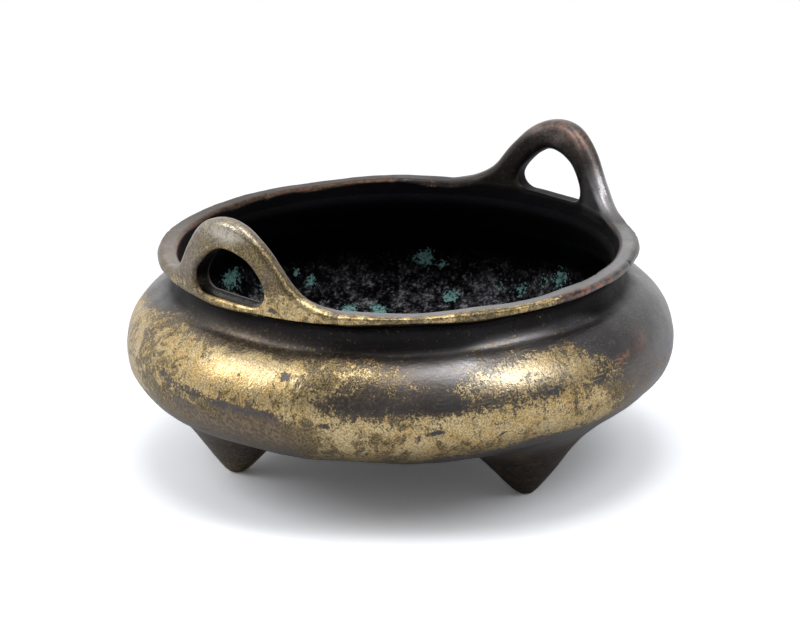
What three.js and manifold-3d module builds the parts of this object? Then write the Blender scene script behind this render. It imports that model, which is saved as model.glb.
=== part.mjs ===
// Bronze tripod incense burner: a low bulging bowl with an everted mouth rim, two upright loop ears and three
// nipple feet. Millimetres, +Z up. The origin is on the surface that the feet stand on, under the bowl's centre.
// The ears stand on the X axis, and one foot points to -Y.
import * as THREE from "three";
import { mergeVertices } from "three/addons/utils/BufferGeometryUtils.js";
import Module from "manifold-3d";

const wasm = await Module();
wasm.setup();

// Driving dimensions
const BELLY_RADIUS = 75.4; // widest point of the bowl
const BELLY_HEIGHT = 34; // height of that widest point
const BASE_HEIGHT = 15.4; // underside of the bowl, between the feet
const BASE_RADIUS = 40; // where the flat underside ends
const BASE_CURVE_LENGTH = 15; // how far the underside leaves level before it climbs
const BELLY_CURVE_LENGTH = 13.5; // how far the belly drops before it turns inwards
const SHOULDER_WIDTH = 18.4; // half axes of the elliptic shoulder
const SHOULDER_RISE = 17.2;
const SHOULDER_END_ANGLE = 68; // degrees round the shoulder's ellipse where the neck's hollow begins
const NECK_INSET = 13.6; // from the widest point in to the waist under the rim
const NECK_RISE = 20.8; // from the widest point up to that waist
const WALL = 3.4; // thickness of the bowl's wall and neck
const FLOOR_THICKNESS = 3.8; // thickness of the bowl's floor

const RIM_SEAT_RISE = 2.2; // from the waist up to the level joint between neck and rim
const RIM_SEAT_FLARE = 1; // how far the neck flares out to that joint
const RIM_HEIGHT = 4; // from the joint up to the rim's level top
const RIM_OVERHANG = 3.2; // from the joint out to the rim's outer edge
const RIM_WIDTH = 5.1; // rim's top, from mouth to outer edge
const RIM_EDGE = 2.4; // height of the rim's outer band
const RIM_ROUND = 0.9; // rounding of the rim's edges
const RIM_SHOULDER = 2; // width over which the top's outer edge is worn down

const EAR_SEAT_DEPTH = 0.9; // how deep the level seat of the ears is cut into the rim
const EAR_CROWN_THICKNESS = 8.5; // metal above the opening
const EAR_CROWN_WIDTH = 10.5; // the larger, the broader the crown
const EAR_LEG_WIDTH = 6.9; // metal beside the opening, where the outline turns from round to hollow
const EAR_WAIST_RISE = 8.4; // from the seat up to that turn
const EAR_WAIST_SLOPE = 51; // degrees from level, of the outline there
const EAR_ROOT_WIDTH = 12.4; // from that turn along the rim to the end of the root
const EAR_ROUND = 1.9; // rounding of the loop's edges
const EAR_LEANS = { right_ear: -3.4, left_ear: 0.5 }; // how far each hand-set crown leans along the rim
const EAR_WAIST_LEAN = 0.35; // share of that lean at the turn
const OPENING_HEIGHT = 14.2; // from the seat up
const OPENING_HALF_WIDTH = 12.7;
const OPENING_WIDEST_RISE = 4.5; // from the seat up to the widest point
const OPENING_SILL_HALF_WIDTH = 8.6; // half width of the opening where it meets the rim
const SILL_FALL = 1; // how much the rim under an opening falls outwards

const FOOT_CIRCLE_RADIUS = 47.4; // from the bowl's axis to each foot's tip
const FOOT_OUTER_SLOPE = 1.47; // rise of the cone's side for each millimetre outwards, on its outer side
const FOOT_INNER_SLOPE = 1.07; // the same on the side towards the bowl's axis
const FOOT_TIP_ROUND = 2; // the larger, the blunter the tip
const FOOT_PAD_RADIUS = 1.8; // small worn flat that touches the ground
const FOOT_FILLET = 4.5; // depth of the blend between a foot and the underside
const FOOT_EDGE = 0.25; // thinnest edge of a foot's flared root
const FOOT_SPAN = 24; // furthest that a foot's flared root may reach
const FOOT_AZIMUTHS = { front_foot: -90, right_foot: 30, left_foot: 150 }; // degrees from +X

const JOINT_GAP = 0.3; // clearance between two pieces where they don't meet on a level face

// Facet counts
const BOWL_SIDES = 72;
const FOOT_SIDES = 32;
const FOOT_RINGS = 8;

const bronze = (name, color, roughness) =>
  new THREE.MeshStandardMaterial({ name, color, roughness, metalness: 1 });
const wornBronze = bronze("worn_bronze", 0x8f7745, 0.42);
const darkBronze = bronze("dark_bronze", 0x4a3f33, 0.48);

const radians = THREE.MathUtils.degToRad;

// Sizes that follow from the driving ones
const neckRadius = BELLY_RADIUS - NECK_INSET;
const neckHeight = BELLY_HEIGHT + NECK_RISE;
const rimSeatRadius = neckRadius + RIM_SEAT_FLARE;
const rimSeatHeight = neckHeight + RIM_SEAT_RISE;
const rimRadius = rimSeatRadius + RIM_OVERHANG;
const rimInside = rimRadius - RIM_WIDTH;
const rimTop = rimSeatHeight + RIM_HEIGHT;
const earSeat = rimTop - EAR_SEAT_DEPTH;
const openingTop = earSeat + OPENING_HEIGHT;
const openingWidest = earSeat + OPENING_WIDEST_RISE;
const earTop = openingTop + EAR_CROWN_THICKNESS;
const earWaist = earSeat + EAR_WAIST_RISE;
const earWaistHalfWidth = OPENING_HALF_WIDTH + EAR_LEG_WIDTH;
const earRootHalfWidth = earWaistHalfWidth + EAR_ROOT_WIDTH;
const earMiddleRadius = rimRadius - RIM_WIDTH / 2;
const earRootAngle = earRootHalfWidth / earMiddleRadius;

// Solids: a closed mesh becomes one for joining and cutting, and comes back as a geometry.
function solidOf(geometry) {
  const bare = geometry.index ? geometry.toNonIndexed() : geometry.clone();
  bare.deleteAttribute("normal");
  bare.deleteAttribute("uv");
  const merged = mergeVertices(bare, 1e-4);
  return new wasm.Manifold(
    new wasm.Mesh({
      numProp: 3,
      vertProperties: merged.attributes.position.array,
      triVerts: new Uint32Array(merged.index.array),
    }),
  );
}

function geometryOf(solid) {
  const mesh = solid.getMesh();
  const geometry = new THREE.BufferGeometry();
  geometry.setAttribute("position", new THREE.BufferAttribute(mesh.vertProperties, 3));
  geometry.setIndex(new THREE.BufferAttribute(mesh.triVerts, 1));
  const flat = geometry.toNonIndexed();
  flat.computeVertexNormals();
  return flat;
}

// A profile in (radius, height) turned about the Z axis. LatheGeometry turns about Y, so it is stood upright.
function revolve(points, sides) {
  return new THREE.LatheGeometry(points, sides).rotateX(Math.PI / 2);
}

// Bowl
const shoulderCentre = new THREE.Vector2(BELLY_RADIUS - SHOULDER_WIDTH, BELLY_HEIGHT);
const shoulderEnd = new THREE.Vector2(
  shoulderCentre.x + SHOULDER_WIDTH * Math.cos(radians(SHOULDER_END_ANGLE)),
  shoulderCentre.y + SHOULDER_RISE * Math.sin(radians(SHOULDER_END_ANGLE)),
);
const shoulderSlope = new THREE.Vector2(
  -SHOULDER_WIDTH * Math.sin(radians(SHOULDER_END_ANGLE)),
  SHOULDER_RISE * Math.cos(radians(SHOULDER_END_ANGLE)),
).normalize();

// The underside, from the flat base out to the widest point of the belly
const underside = new THREE.CubicBezierCurve(
  new THREE.Vector2(BASE_RADIUS, BASE_HEIGHT),
  new THREE.Vector2(BASE_RADIUS + BASE_CURVE_LENGTH, BASE_HEIGHT),
  new THREE.Vector2(BELLY_RADIUS, BELLY_HEIGHT - BELLY_CURVE_LENGTH),
  new THREE.Vector2(BELLY_RADIUS, BELLY_HEIGHT),
);
const shoulder = new THREE.EllipseCurve(
  shoulderCentre.x,
  shoulderCentre.y,
  SHOULDER_WIDTH,
  SHOULDER_RISE,
  0,
  radians(SHOULDER_END_ANGLE),
);
// The hollow of the neck: out of the shoulder, upright at the waist, and out again to the rim's seat
const neckReach = (neckHeight - shoulderEnd.y) / 2;
const lowerNeck = new THREE.CubicBezierCurve(
  shoulderEnd,
  shoulderEnd.clone().addScaledVector(shoulderSlope, (shoulderEnd.x - neckRadius) / 2),
  new THREE.Vector2(neckRadius, neckHeight - neckReach),
  new THREE.Vector2(neckRadius, neckHeight),
);
const upperNeck = new THREE.QuadraticBezierCurve(
  new THREE.Vector2(neckRadius, neckHeight),
  new THREE.Vector2(neckRadius, (neckHeight + rimSeatHeight) / 2),
  new THREE.Vector2(rimSeatRadius, rimSeatHeight),
);

const withoutLast = (points) => points.slice(0, -1);

function outerProfile() {
  return [
    ...withoutLast(underside.getPoints(9)),
    ...withoutLast(shoulder.getPoints(7)),
    ...withoutLast(lowerNeck.getPoints(3)),
    ...upperNeck.getPoints(2),
  ];
}

// The outside moved inwards by the wall. The floor is a little thicker than the wall.
function innerProfile(outer) {
  return outer.map((point, i) => {
    const before = outer[Math.max(i - 1, 0)];
    const after = outer[Math.min(i + 1, outer.length - 1)];
    const along = after.clone().sub(before).normalize();
    const inward = new THREE.Vector2(-along.y, along.x);
    const share = THREE.MathUtils.smoothstep(point.x, BASE_RADIUS, BELLY_RADIUS);
    const depth = i < outer.length / 2 ? THREE.MathUtils.lerp(FLOOR_THICKNESS, WALL, share) : WALL;
    return point.clone().addScaledVector(inward, depth);
  });
}

function makeBowl() {
  const outer = outerProfile();
  const inner = innerProfile(outer).filter((point) => point.y < rimSeatHeight - JOINT_GAP);
  const profile = [
    new THREE.Vector2(0, BASE_HEIGHT),
    ...outer,
    new THREE.Vector2(rimSeatRadius - WALL, rimSeatHeight),
    ...inner.reverse(),
    new THREE.Vector2(0, BASE_HEIGHT + FLOOR_THICKNESS),
  ];
  return revolve(profile, BOWL_SIDES);
}

// Mouth rim: it goes on from the neck, flares outwards and ends in a flat band
function rimSection() {
  const lowEdge = rimTop - RIM_EDGE;
  const path = new THREE.Path();
  path.moveTo(rimSeatRadius, rimSeatHeight);
  path.quadraticCurveTo(rimSeatRadius + RIM_ROUND, lowEdge - RIM_ROUND / 2, rimRadius - RIM_ROUND, lowEdge);
  path.quadraticCurveTo(rimRadius, lowEdge, rimRadius, lowEdge + RIM_ROUND);
  path.lineTo(rimRadius, rimTop - RIM_ROUND);
  path.quadraticCurveTo(rimRadius, rimTop, rimRadius - RIM_SHOULDER, rimTop);
  path.lineTo(rimInside + RIM_ROUND, rimTop);
  path.quadraticCurveTo(rimInside, rimTop, rimInside - RIM_ROUND / 3, rimTop - RIM_ROUND);
  path.quadraticCurveTo(
    rimSeatRadius - WALL + RIM_ROUND / 2,
    rimSeatHeight + RIM_EDGE / 2,
    rimSeatRadius - WALL,
    rimSeatHeight,
  );
  path.lineTo(rimSeatRadius, rimSeatHeight);
  return path.getPoints(3);
}

// A block over the rim, between two angles either side of +X, from a height upwards
function sectorBlock(halfAngle, fromHeight) {
  const near = rimInside - 2 * RIM_WIDTH;
  const far = rimRadius + RIM_WIDTH;
  const shape = new THREE.Shape();
  shape.moveTo(near * Math.cos(halfAngle), -near * Math.sin(halfAngle));
  shape.lineTo(far, -far * Math.tan(halfAngle));
  shape.lineTo(far, far * Math.tan(halfAngle));
  shape.lineTo(near * Math.cos(halfAngle), near * Math.sin(halfAngle));
  const depth = 2 * (earTop - fromHeight);
  return new THREE.ExtrudeGeometry(shape, { depth, bevelEnabled: false }).translate(0, 0, fromHeight);
}

// The wedge that makes the sill of an ear's opening fall outwards
function sillWedge() {
  const shape = new THREE.Shape();
  shape.moveTo(rimInside, earSeat);
  shape.lineTo(rimRadius + RIM_ROUND, earSeat - SILL_FALL);
  shape.lineTo(rimRadius + RIM_ROUND, earSeat + SILL_FALL);
  shape.lineTo(rimInside, earSeat + SILL_FALL);
  const depth = 2 * OPENING_SILL_HALF_WIDTH;
  return new THREE.ExtrudeGeometry(shape, { depth, bevelEnabled: false })
    .translate(0, 0, -depth / 2)
    .rotateX(Math.PI / 2);
}

function makeRim() {
  let rim = solidOf(revolve(rimSection(), BOWL_SIDES));
  for (const turn of [0, Math.PI]) {
    rim = rim.subtract(solidOf(sectorBlock(earRootAngle, earSeat).rotateZ(turn)));
    rim = rim.subtract(solidOf(sillWedge().rotateZ(turn)));
  }
  return geometryOf(rim);
}

// Ear: the outline of the loop with its opening, given thickness and rounded edges, then bent round the rim
function traceOpening(shape) {
  const corner = earSeat + SILL_FALL;
  const arch = (openingWidest + openingTop) / 2;
  const wide = OPENING_HALF_WIDTH;
  shape.lineTo(-OPENING_SILL_HALF_WIDTH, earSeat);
  shape.quadraticCurveTo(-wide, corner, -wide, openingWidest);
  shape.bezierCurveTo(-wide, arch, -wide / 2, openingTop, 0, openingTop);
  shape.bezierCurveTo(wide / 2, openingTop, wide, arch, wide, openingWidest);
  shape.quadraticCurveTo(wide, corner, OPENING_SILL_HALF_WIDTH, earSeat);
}

function earShape(lean) {
  const skirt = earSeat - 2 * EAR_ROUND; // below the seat, so that the cut leaves full edges
  const tail = earRootHalfWidth + 2 * EAR_ROUND;
  const waistLean = lean * EAR_WAIST_LEAN;
  const along = Math.cos(radians(EAR_WAIST_SLOPE));
  const down = Math.sin(radians(EAR_WAIST_SLOPE));
  const sweep = (earWaist - rimTop) * 0.65;
  const arch = (earTop - earWaist) * 0.5;
  const shape = new THREE.Shape();
  shape.moveTo(-tail, skirt);
  shape.lineTo(-OPENING_SILL_HALF_WIDTH, skirt);
  traceOpening(shape);
  shape.lineTo(OPENING_SILL_HALF_WIDTH, skirt);
  shape.lineTo(tail, skirt);
  shape.lineTo(tail, rimTop);
  const right = waistLean + earWaistHalfWidth;
  const left = waistLean - earWaistHalfWidth;
  const rootReach = earRootHalfWidth * 0.85;
  const low = earWaist - sweep * down;
  const high = earWaist + arch * down;
  shape.bezierCurveTo(rootReach, rimTop, right + sweep * along, low, right, earWaist);
  shape.bezierCurveTo(right - arch * along, high, lean + EAR_CROWN_WIDTH, earTop, lean, earTop);
  shape.bezierCurveTo(lean - EAR_CROWN_WIDTH, earTop, left + arch * along, high, left, earWaist);
  shape.bezierCurveTo(left - sweep * along, low, -rootReach, rimTop, -tail, rimTop);
  shape.closePath();
  return shape;
}

// Carries a flat plate, with x along the rim, y up and z outwards, onto the rim's curve about +X
function bendRoundRim(geometry) {
  const position = geometry.getAttribute("position");
  for (let i = 0; i < position.count; i++) {
    const angle = position.getX(i) / earMiddleRadius;
    const radius = earMiddleRadius + position.getZ(i);
    position.setXYZ(i, radius * Math.cos(angle), radius * Math.sin(angle), position.getY(i));
  }
  return geometry;
}

function makeEar(lean) {
  const plate = new THREE.ExtrudeGeometry(earShape(lean), {
    depth: RIM_WIDTH - 2 * EAR_ROUND,
    bevelEnabled: true,
    bevelThickness: EAR_ROUND,
    bevelSize: EAR_ROUND,
    bevelOffset: -EAR_ROUND,
    bevelSegments: 3,
    curveSegments: 9,
  }).translate(0, 0, EAR_ROUND - RIM_WIDTH / 2);
  const clearAngle = earRootAngle - JOINT_GAP / earMiddleRadius;
  const ear = solidOf(bendRoundRim(plate)).intersect(solidOf(sectorBlock(clearAngle, earSeat)));
  return geometryOf(ear);
}

// Foot: a blunt cone that blends into the bowl's underside. It is the space between its own lower surface and
// the underside, as a polar grid about the foot's upright axis, with -Y pointing away from the bowl's axis.
function undersideHeight(radius) {
  if (radius <= BASE_RADIUS) return BASE_HEIGHT;
  let low = 0;
  let high = 1;
  while (high - low > 1e-5) {
    const middle = (low + high) / 2;
    if (underside.getPoint(middle).x < radius) low = middle;
    else high = middle;
  }
  return underside.getPoint(low).y;
}

// The cone's height at a point round the foot's axis, steeper on the side away from the bowl's axis
function coneHeight(x, y) {
  const r = Math.hypot(x, y);
  if (r <= FOOT_PAD_RADIUS) return 0;
  const outward = (1 - y / r) / 2;
  const slope = THREE.MathUtils.lerp(FOOT_INNER_SLOPE, FOOT_OUTER_SLOPE, outward);
  return Math.hypot(slope * (r - FOOT_PAD_RADIUS), FOOT_TIP_ROUND) - FOOT_TIP_ROUND;
}

function smoothLower(a, b, depth) {
  const share = Math.max(depth - Math.abs(a - b), 0) / depth;
  return Math.min(a, b) - (share * share * depth) / 4;
}

function makeFoot() {
  const seatAt = (x, y) => undersideHeight(Math.hypot(x, y - FOOT_CIRCLE_RADIUS)) - JOINT_GAP;
  const soleAt = (x, y) => smoothLower(coneHeight(x, y), seatAt(x, y), FOOT_FILLET);
  // How far out the root reaches in one direction, where it has thinned to its edge
  const reach = (cos, sin) => {
    let low = 0;
    let high = FOOT_SPAN;
    while (high - low > 1e-4) {
      const r = (low + high) / 2;
      const thickness = seatAt(r * cos, r * sin) - soleAt(r * cos, r * sin);
      if (thickness > FOOT_EDGE) low = r;
      else high = r;
    }
    return low;
  };
  const rings = [];
  for (let side = 0; side < FOOT_SIDES; side++) {
    const angle = (side * 2 * Math.PI) / FOOT_SIDES;
    const cos = Math.cos(angle);
    const sin = Math.sin(angle);
    const edge = reach(cos, sin);
    for (let ring = 0; ring <= FOOT_RINGS; ring++) {
      const r = FOOT_PAD_RADIUS + ((edge - FOOT_PAD_RADIUS) * ring) / FOOT_RINGS;
      rings.push([r * cos, r * sin]);
    }
  }
  const perSide = FOOT_RINGS + 1;
  const count = FOOT_SIDES * perSide;
  const vertices = [];
  for (const [x, y] of rings) vertices.push(x, y, soleAt(x, y));
  for (const [x, y] of rings) vertices.push(x, y, seatAt(x, y));
  vertices.push(0, 0, 0, 0, 0, seatAt(0, 0));
  const soleCentre = 2 * count;
  const seatCentre = soleCentre + 1;
  const index = [];
  for (let side = 0; side < FOOT_SIDES; side++) {
    const here = side * perSide;
    const next = ((side + 1) % FOOT_SIDES) * perSide;
    index.push(soleCentre, next, here, seatCentre, count + here, count + next);
    for (let ring = 0; ring < FOOT_RINGS; ring++) {
      const [a, b, c, d] = [here + ring, here + ring + 1, next + ring, next + ring + 1];
      index.push(a, c, b, b, c, d);
      index.push(count + a, count + b, count + c, count + b, count + d, count + c);
    }
    const [low, lowNext] = [here + FOOT_RINGS, next + FOOT_RINGS];
    index.push(low, lowNext, count + low, lowNext, count + lowNext, count + low);
  }
  const geometry = new THREE.BufferGeometry();
  geometry.setAttribute("position", new THREE.Float32BufferAttribute(vertices, 3));
  geometry.setIndex(index);
  geometry.computeVertexNormals();
  return geometry;
}

function piece(name, geometry, material) {
  const mesh = new THREE.Mesh(geometry, material);
  mesh.name = name;
  return mesh;
}

const burner = new THREE.Group();
burner.add(piece("bowl", makeBowl(), wornBronze));
burner.add(piece("mouth_rim", makeRim(), wornBronze));

burner.add(piece("right_ear", makeEar(EAR_LEANS.right_ear), darkBronze));
const leftEar = piece("left_ear", makeEar(EAR_LEANS.left_ear), wornBronze);
leftEar.rotation.z = Math.PI;
burner.add(leftEar);

const footGeometry = makeFoot();
for (const [name, azimuth] of Object.entries(FOOT_AZIMUTHS)) {
  const foot = piece(name, footGeometry, darkBronze);
  foot.rotation.z = radians(azimuth + 90);
  const onCircle = new THREE.Vector3(FOOT_CIRCLE_RADIUS, 0, 0);
  foot.position.copy(onCircle.applyAxisAngle(new THREE.Vector3(0, 0, 1), radians(azimuth)));
  burner.add(foot);
}

export default burner;
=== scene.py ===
import math

import bpy
import numpy as np
from mathutils import Matrix, Vector


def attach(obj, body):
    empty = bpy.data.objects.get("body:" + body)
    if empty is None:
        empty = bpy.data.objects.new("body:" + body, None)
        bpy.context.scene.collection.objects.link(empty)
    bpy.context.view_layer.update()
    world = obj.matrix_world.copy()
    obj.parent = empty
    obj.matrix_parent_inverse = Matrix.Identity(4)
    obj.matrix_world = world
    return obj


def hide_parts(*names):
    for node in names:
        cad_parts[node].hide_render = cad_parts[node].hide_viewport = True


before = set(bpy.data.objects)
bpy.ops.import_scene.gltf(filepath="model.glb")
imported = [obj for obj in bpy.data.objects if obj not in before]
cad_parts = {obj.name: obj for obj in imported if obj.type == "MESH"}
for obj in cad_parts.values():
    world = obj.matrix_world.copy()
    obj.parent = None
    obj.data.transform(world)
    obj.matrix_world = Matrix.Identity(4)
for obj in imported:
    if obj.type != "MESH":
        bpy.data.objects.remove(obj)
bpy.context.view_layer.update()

MM = 0.001

# Sizes of the CAD model
FLOOR_TOP = 19.2
SEAT_HEIGHT = 57.0  # level joint between neck and rim
SEAT_RADIUS = 62.8
WALL = 3.4
FLOOR_THICKNESS = 3.8
BASE_HEIGHT = 15.4
BASE_RADIUS = 40.0
BASE_FLARE = 55.0  # radius to which the underside leaves the base level
BELLY_RADIUS = 75.4
BELLY_HEIGHT = 34.0
BELLY_LOW = 20.5  # height down to which the belly starts upright
SHOULDER_WIDTH = 18.4
SHOULDER_RISE = 17.2
SHOULDER_END = math.radians(68)
NECK_RADIUS = 61.8
NECK_HEIGHT = 54.8
NECK_END = 55.9  # height at which the neck turns out to the rim
RIM_TOP = 61.0
RIM_RADIUS = 66.0
RIM_BAND = 2.4  # height of the rim's outer band
RIM_INSIDE = 60.9
EAR_MIDDLE = 63.45  # radius of the middle of an ear
EAR_HALF = 2.55
EAR_SEAT = 60.1
EAR_TOP = 82.8
EAR_WAIST = 68.5  # height at which the outline is steepest
EAR_WAIST_HALF = 19.6
EAR_WAIST_LEAN = 0.35  # share of the crown's lean that the waist has
EAR_SLOPE = math.radians(51)  # of the outline at the waist
EAR_SWEEP = 0.65  # reach of the curves below and above the waist, as shares of their heights
EAR_ARCH = 0.5
EAR_CROWN_REACH = 10.5
EAR_ROOT_HALF = 32.0
EAR_TAIL = 8.0
EAR_ROOT_REACH = 0.85
EAR_FOOT = 50.0  # the outline is closed below the rim
OPENING_HALF = 12.7
OPENING_WIDEST = 64.6
OPENING_TOP = 74.3
SILL_HALF = 8.6
SILL_TOP = 60.95  # inner edge of the sill
SILL_FALL = 0.75
FOOT_CIRCLE = 47.4
FOOT_AZIMUTHS = {"front_foot": -90, "right_foot": 30, "left_foot": 150}
FOOT_SLOPES = (1.07, 1.47)  # of the cone, towards the axis and away from it
FOOT_PAD = 1.2
FOOT_ROUNDING = 2.6
FOOT_FILLET = 6.0

VIEW_DEGREES = -135
VIEW = math.radians(VIEW_DEGREES)  # direction from the bowl's axis to the camera, seen from above
BACKDROP = math.radians(64)  # direction of the brightest part of the surroundings


def smooth(value, low, high):
    share = np.clip((np.asarray(value, float) - low) / (high - low), 0, 1)
    return share * share * (3 - 2 * share)


def bezier(points, count):
    t = np.linspace(0, 1, count + 1)[:, None]
    layer = [np.array(point, float)[None] for point in points]
    while len(layer) > 1:
        layer = [a * (1 - t) + b * t for a, b in zip(layer, layer[1:])]
    return layer[0]


def resample(points, spacing):
    steps = np.hypot(*np.diff(points, axis=0).T)
    length = np.concatenate([[0], np.cumsum(steps)])
    count = max(2, int(round(length[-1] / spacing)))
    at = np.linspace(0, length[-1], count + 1)
    return np.stack([np.interp(at, length, points[:, i]) for i in (0, 1)], 1)


# Casting unevenness: gentle waves in space that every piece shares, so that joints stay closed
rng = np.random.default_rng(7)


def waves(count, shortest, longest, size):
    directions = rng.normal(size=(count, 3))
    directions /= np.linalg.norm(directions, axis=1)[:, None]
    lengths = rng.uniform(shortest, longest, count)
    phases = rng.uniform(0, 2 * np.pi, count)
    return directions * (2 * np.pi / lengths)[:, None], phases, np.full(count, size / math.sqrt(count / 2))


WAVES = [  # number, shortest, longest and height
    waves(14, 22, 46, 0.16),
    waves(14, 9, 16, 0.05),
    waves(16, 3.5, 6, 0.012),
]
RIM_TILT = 0.38
TILT_HEIGHTS = (50, 57)  # the tilt sets in between them


def unevenness(points):
    total = np.zeros(len(points))
    for vectors, phases, sizes in WAVES:
        total += np.sin(points @ vectors.T + phases) @ sizes
    return total


def tilted(points):
    """The rim and ears stand a little lower on the far side of the view."""
    away = -(points[:, 0] * math.cos(VIEW) + points[:, 1] * math.sin(VIEW))
    moved = points.copy()
    moved[:, 2] -= RIM_TILT * away / RIM_RADIUS * smooth(points[:, 2], *TILT_HEIGHTS)
    return moved


# Profiles
def underside_curve(count):
    belly = [(BELLY_RADIUS, BELLY_LOW), (BELLY_RADIUS, BELLY_HEIGHT)]
    return bezier([(BASE_RADIUS, BASE_HEIGHT), (BASE_FLARE, BASE_HEIGHT)] + belly, count)


def outer_profile():
    underside = underside_curve(80)
    turned = np.linspace(0, SHOULDER_END, 60)
    radius = BELLY_RADIUS - SHOULDER_WIDTH + SHOULDER_WIDTH * np.cos(turned)
    shoulder = np.stack([radius, BELLY_HEIGHT + SHOULDER_RISE * np.sin(turned)], 1)
    end = shoulder[-1]
    slope = np.array([-SHOULDER_WIDTH * math.sin(SHOULDER_END), SHOULDER_RISE * math.cos(SHOULDER_END)])
    slope /= np.hypot(*slope)
    leaving = end + slope * (end[0] - NECK_RADIUS) / 2
    arriving = (NECK_RADIUS, (end[1] + NECK_HEIGHT) / 2)
    lower = bezier([end, leaving, arriving, (NECK_RADIUS, NECK_HEIGHT)], 24)
    upper = bezier([(NECK_RADIUS, NECK_HEIGHT), (NECK_RADIUS, NECK_END), (SEAT_RADIUS, SEAT_HEIGHT)], 12)
    return np.concatenate([underside[:-1], shoulder[:-1], lower[:-1], upper])


def inner_profile(outer):
    along = np.gradient(outer, axis=0)
    along /= np.hypot(*along.T)[:, None]
    inward = np.stack([-along[:, 1], along[:, 0]], 1)
    share = smooth(outer[:, 0], BASE_RADIUS, BELLY_RADIUS)
    below = outer[:, 1] < BELLY_HEIGHT
    depth = np.where(below, FLOOR_THICKNESS + (WALL - FLOOR_THICKNESS) * share, WALL)
    inner = outer + inward * depth[:, None]
    inner = inner[inner[:, 1] < SEAT_HEIGHT - 0.6]
    return np.concatenate([inner, [(SEAT_RADIUS - WALL, SEAT_HEIGHT)]])


def rim_section():
    """The rim's section from the outer end of its seat over its top to the inner end."""
    low = RIM_TOP - RIM_BAND
    inner_end = (SEAT_RADIUS - WALL, SEAT_HEIGHT)
    parts = [
        bezier([(SEAT_RADIUS, SEAT_HEIGHT), (63.7, 58.15), (65.1, low)], 12),
        bezier([(65.1, low), (RIM_RADIUS, low), (RIM_RADIUS, 59.5)], 8),
        bezier([(RIM_RADIUS, 59.5), (RIM_RADIUS, 60.1)], 2),
        bezier([(RIM_RADIUS, 60.1), (RIM_RADIUS, RIM_TOP), (64, RIM_TOP)], 12),
        bezier([(64, RIM_TOP), (61.8, RIM_TOP)], 4),
        bezier([(61.8, RIM_TOP), (RIM_INSIDE, RIM_TOP), (60.6, 60.1)], 10),
        bezier([(60.6, 60.1), (59.85, 58.2), inner_end], 10),
    ]
    return np.concatenate([part[:-1] for part in parts] + [[inner_end]])


# Meshes
def make_object(name, points, faces, wear, grime_and_painted_light, normals=None):
    """A mesh object from points in millimetres, with its masks as colour attributes."""
    mesh = bpy.data.meshes.new(name)
    mesh.from_pydata((points * MM).tolist(), [], faces)
    mesh.polygons.foreach_set("use_smooth", np.ones(len(mesh.polygons), bool))
    for label, values in (("wear", wear), ("grime_and_painted_light", grime_and_painted_light)):
        layer = mesh.attributes.new(label, "FLOAT_COLOR", "POINT")
        layer.data.foreach_set("color", np.asarray(values, np.float32).ravel())
    mesh.update()
    if normals is not None:
        mesh.normals_split_custom_set(normals)
    thing = bpy.data.objects.new(name, mesh)
    bpy.context.scene.collection.objects.link(thing)
    return thing


def vertex_normals(points, faces):
    total = np.zeros_like(points)
    corners = points[faces]
    across = np.cross(corners[:, 2] - corners[:, 0], corners[:, 3] - corners[:, 1])
    for k in range(4):
        np.add.at(total, faces[:, k], across)
    length = np.linalg.norm(total, axis=1)[:, None]
    return total / np.where(length > 0, length, 1)


ARC = 1.3  # millimetres along the belly to a degree


def view_angle(points):
    """Degrees round the axis from the side that faces the camera, to the right seen from there."""
    angle = np.degrees(np.arctan2(points[:, 1], points[:, 0])) - VIEW_DEGREES
    return (angle + 180) % 360 - 180


def blob(angle, height, at, spread, turn=0.0):
    """1 in the middle of a spot on the belly and 0 outside, from degrees and millimetres of height."""
    x = (angle - at[0]) * ARC
    y = height - at[1]
    c, s = math.cos(math.radians(turn)), math.sin(math.radians(turn))
    u, v = (x * c + y * s) / spread[0], (-x * s + y * c) / spread[1]
    return np.exp(-(u * u + v * v))


def blobs(angle, height, table):
    """The sum of a table's spots: angle and height, half sizes, strength and, if any, turn."""
    return sum(strength * blob(angle, height, at, size, *turned) for at, size, strength, *turned in table)


def streak(angle, height, path, width):
    """1 along a line over the belly and 0 beside it, from its points and its half width in millimetres."""
    away = np.full(len(angle), 1e9)
    for (a0, z0), (a1, z1) in zip(path, path[1:]):
        along = np.array([(a1 - a0) * ARC, z1 - z0])
        x, y = (angle - a0) * ARC, height - z0
        share = np.clip((x * along[0] + y * along[1]) / (along @ along), 0, 1)
        away = np.minimum(away, np.hypot(x - share * along[0], y - share * along[1]))
    return np.exp(-((away / width) ** 2))


def between(value, low, high):
    """1 between two soft steps, up over the first pair of limits and down over the second."""
    return smooth(value, *low) * (1 - smooth(value, *high))


# Edges of the gold band round the belly: height at an angle
GOLD_TOP = (
    [-110, -90, -77, -65, -52, -38, -21, -5, 0, 6, 13, 20, 30, 38, 46, 56, 64],
    [44, 46, 47.2, 48.8, 47.8, 49.2, 48.6, 48.8, 47.6, 45.4, 44.8, 46.0, 47.4, 47.2, 45.5, 42, 38],
)
GOLD_LOW = (
    [-95, -70, -56, -17, 4, 13, 22, 30, 44, 54, 64],
    [29, 28, 26, 20, 22, 24, 25, 27, 26, 26.5, 27],
)
GOLD_SPOTS = [
    # angle and height, half sizes, strength, turn if any
    ((17, 47.5), (18, 3.4), 0.16),
    ((-36, 42.5), (26, 4.5), 0.30),
    ((10, 27), (40, 4), 0.22),
    ((-2, 43), (20, 5.6), -0.60),
    ((5.5, 46), (9, 3.4), -0.30),
    ((28, 34.5), (16, 3), -0.14),
    ((-45.1, 32.2), (2.6, 1.0), 0.30),
    ((-41.4, 31.4), (2.4, 0.9), 0.25, -10),
]
REAR_GOLD_SPOTS = [((158, 38), (26, 6), 0.75), ((125, 30), (16, 5), 0.50)]
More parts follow.
